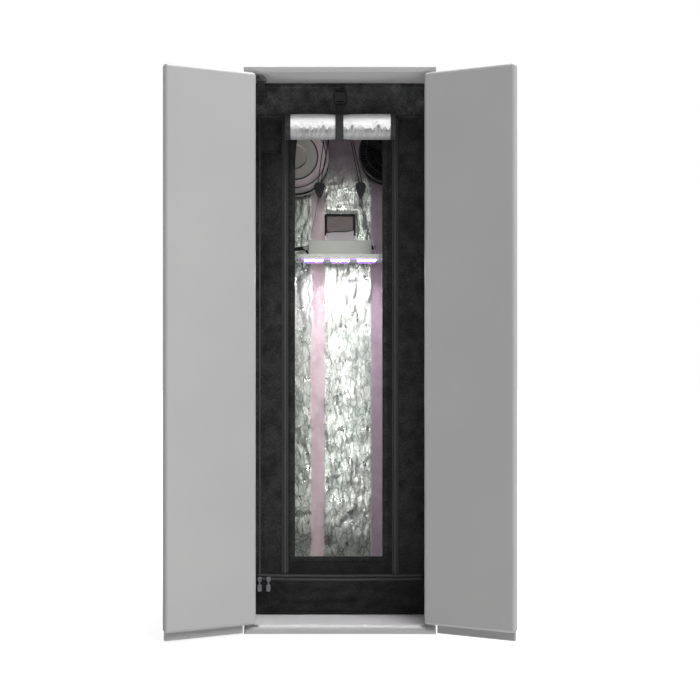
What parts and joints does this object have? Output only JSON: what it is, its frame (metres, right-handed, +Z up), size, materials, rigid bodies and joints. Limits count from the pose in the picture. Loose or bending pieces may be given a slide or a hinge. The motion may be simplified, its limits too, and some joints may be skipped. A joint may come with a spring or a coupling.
{
  "type": "indoor grow tent",
  "caption": "Tall two-door cabinet with a fabric grow tent inside: window flap rolled up, lamp on rope ratchets, carbon filter, clip fan and a netted vent.",
  "frame": {"origin": "middle of the cabinet's footprint, on the floor", "axes": "+Z up, -Y towards the front with the doors, +X to the right as seen from the front"},
  "size_m": [1.089, 0.7468, 1.8],
  "materials": {
    "cabinet_board": "light grey satin laminate, smooth",
    "hinge_steel": "bright rolled steel",
    "black_cloth": "matt black woven cloth",
    "silver_cloth": "crinkled silver film on cloth",
    "vent_net": "brown open net",
    "frame_tube": "white coated tube, black corner pieces",
    "black_plastic": "black, slightly glossy",
    "cable_rubber": "black cable sheath",
    "rope_cord": "dark braided cord",
    "bright_wire": "bright steel wire",
    "zip_metal": "grey metal",
    "lamp_metal": "greenish grey painted aluminium",
    "lamp_glow": "white board, lit white and violet",
    "filter_case": "off-white case"
  },
  "bodies": {
    "cabinet": {"back_panel": "cabinet_board", "base_panel": "cabinet_board", "top_panel": "cabinet_board", "left_side_panel": "cabinet_board", "right_side_panel": "cabinet_board", "left_foot_pivot": "hinge_steel", "left_top_pivot": "hinge_steel", "right_foot_pivot": "hinge_steel", "right_top_pivot": "hinge_steel", "tent_front": "black_cloth", "tent_left_wall": "silver_cloth", "tent_right_wall": "silver_cloth", "tent_back": "silver_cloth", "tent_roof": "silver_cloth", "tent_floor": "silver_cloth", "vent_mesh": "vent_net", "front_left_post": "frame_tube", "front_right_post": "frame_tube", "rear_left_post": "frame_tube", "rear_right_post": "frame_tube", "bottom_front_rail": "frame_tube", "bottom_rear_rail": "frame_tube", "bottom_left_rail": "frame_tube", "bottom_right_rail": "frame_tube", "top_front_rail": "frame_tube", "top_rear_rail": "frame_tube", "top_left_rail": "frame_tube", "top_right_rail": "frame_tube", "front_hanging_bar": "frame_tube", "rear_hanging_bar": "frame_tube", "window_flap_roll": "silver_cloth", "roll_strap": "black_cloth", "strap_buckle": "black_plastic", "corner_ring": "bright_wire", "ring_webbing": "black_cloth", "filter_body": "filter_case", "filter_end_cap": "filter_case", "filter_strap": "black_cloth", "duct_fan": "black_plastic", "fan_clip": "black_plastic"},
    "left_door": {"left_door": "cabinet_board"},
    "right_door": {"right_door": "cabinet_board"},
    "lamp": {"lamp_plate": "lamp_metal", "lamp_driver": "lamp_metal", "led_board": "lamp_glow", "lamp_cable": "cable_rubber", "left_rope_ratchet": "black_plastic", "right_rope_ratchet": "black_plastic", "left_rope": "rope_cord", "right_rope": "rope_cord", "left_lamp_wire": "bright_wire", "right_lamp_wire": "bright_wire"},
    "dimmer": {"dimmer_knob": "black_plastic"},
    "left_slider": {"left_zip_slider": "zip_metal"},
    "left_tab": {"left_zip_tab": "zip_metal"},
    "right_slider": {"right_zip_slider": "zip_metal"},
    "right_tab": {"right_zip_tab": "zip_metal"},
    "fan_head": {"fan_guard": "black_plastic", "fan_housing": "black_plastic"},
    "fan_rotor": {"fan_blades": "black_plastic"}
  },
  "joints": [
    {"name": "left_door_hinge", "type": "hinge", "parent": "cabinet", "child": "left_door", "pos_m": [-0.2865, -0.305, 0.9], "axis": [0, 0, 1], "range_deg": [-16.5, 153.5]},
    {"name": "right_door_hinge", "type": "hinge", "parent": "cabinet", "child": "right_door", "pos_m": [0.2865, -0.305, 0.9], "axis": [0, 0, -1], "range_deg": [-16.5, 153.5]},
    {"name": "lamp_lift", "type": "slide", "parent": "cabinet", "child": "lamp", "axis": [0, 0, 1], "range_m": [-0.75, 0.1], "deforming": ["left_rope", "right_rope"]},
    {"name": "dimmer_turn", "type": "hinge", "parent": "lamp", "child": "dimmer", "pos_m": [0.1133, -0.01, 1.252], "axis": [1, 0, 0], "range_deg": [0, 270]},
    {"name": "side_zip", "type": "slide", "parent": "cabinet", "child": "left_slider", "axis": [0, 0, 1], "range_m": [0, 1.5]},
    {"name": "left_tab_swing", "type": "hinge", "parent": "left_slider", "child": "left_tab", "pos_m": [-0.265, -0.1454, 0.14333], "axis": [-1, 0, 0], "range_deg": [0, 160]},
    {"name": "foot_zip", "type": "slide", "parent": "cabinet", "child": "right_slider", "axis": [1, 0, 0], "range_m": [0, 0.49]},
    {"name": "right_tab_swing", "type": "hinge", "parent": "right_slider", "child": "right_tab", "pos_m": [-0.236, -0.1454, 0.14333], "axis": [-1, 0, 0], "range_deg": [0, 160]},
    {"name": "fan_tilt", "type": "hinge", "parent": "cabinet", "child": "fan_head", "pos_m": [0.168, 0.15, 1.5815], "axis": [1, 0, 0], "range_deg": [-20, 20]},
    {"name": "fan_spin", "type": "hinge", "parent": "fan_head", "child": "fan_rotor", "pos_m": [0.168, 0.0543, 1.5815], "axis": [0, 1, 0], "continuous": true}
  ]
}
